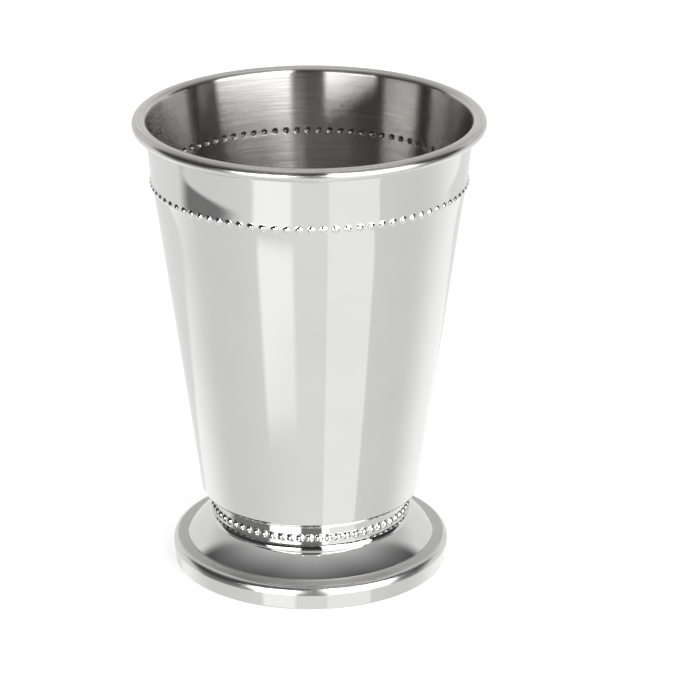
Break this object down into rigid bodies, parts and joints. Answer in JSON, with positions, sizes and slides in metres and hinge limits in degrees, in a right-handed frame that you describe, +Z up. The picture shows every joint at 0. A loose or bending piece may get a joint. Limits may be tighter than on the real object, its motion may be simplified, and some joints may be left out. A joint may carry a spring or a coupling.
{
  "type": "julep cup",
  "caption": "Footed julep cup in polished steel: a tapered drinking cup with a rolled rim and a pressed row of beads, on a beaded collar and a domed foot.",
  "frame": {"origin": "centre of the circle that the foot stands on", "axes": "+Z up along the cup's axis, out of its mouth; X and Y are alike, because the cup is round"},
  "size_m": [0.089, 0.089, 0.12],
  "materials": {
    "polished_steel": "mirror polished outside, brushed in rings inside",
    "satin_steel": "spun in fine rings",
    "braze": "dull, as melted"
  },
  "bodies": {
    "root": {"cup_body": "polished_steel", "beaded_collar": "polished_steel", "foot": "polished_steel", "base_disc": "satin_steel", "braze_ring": "braze"}
  },
  "joints": []
}
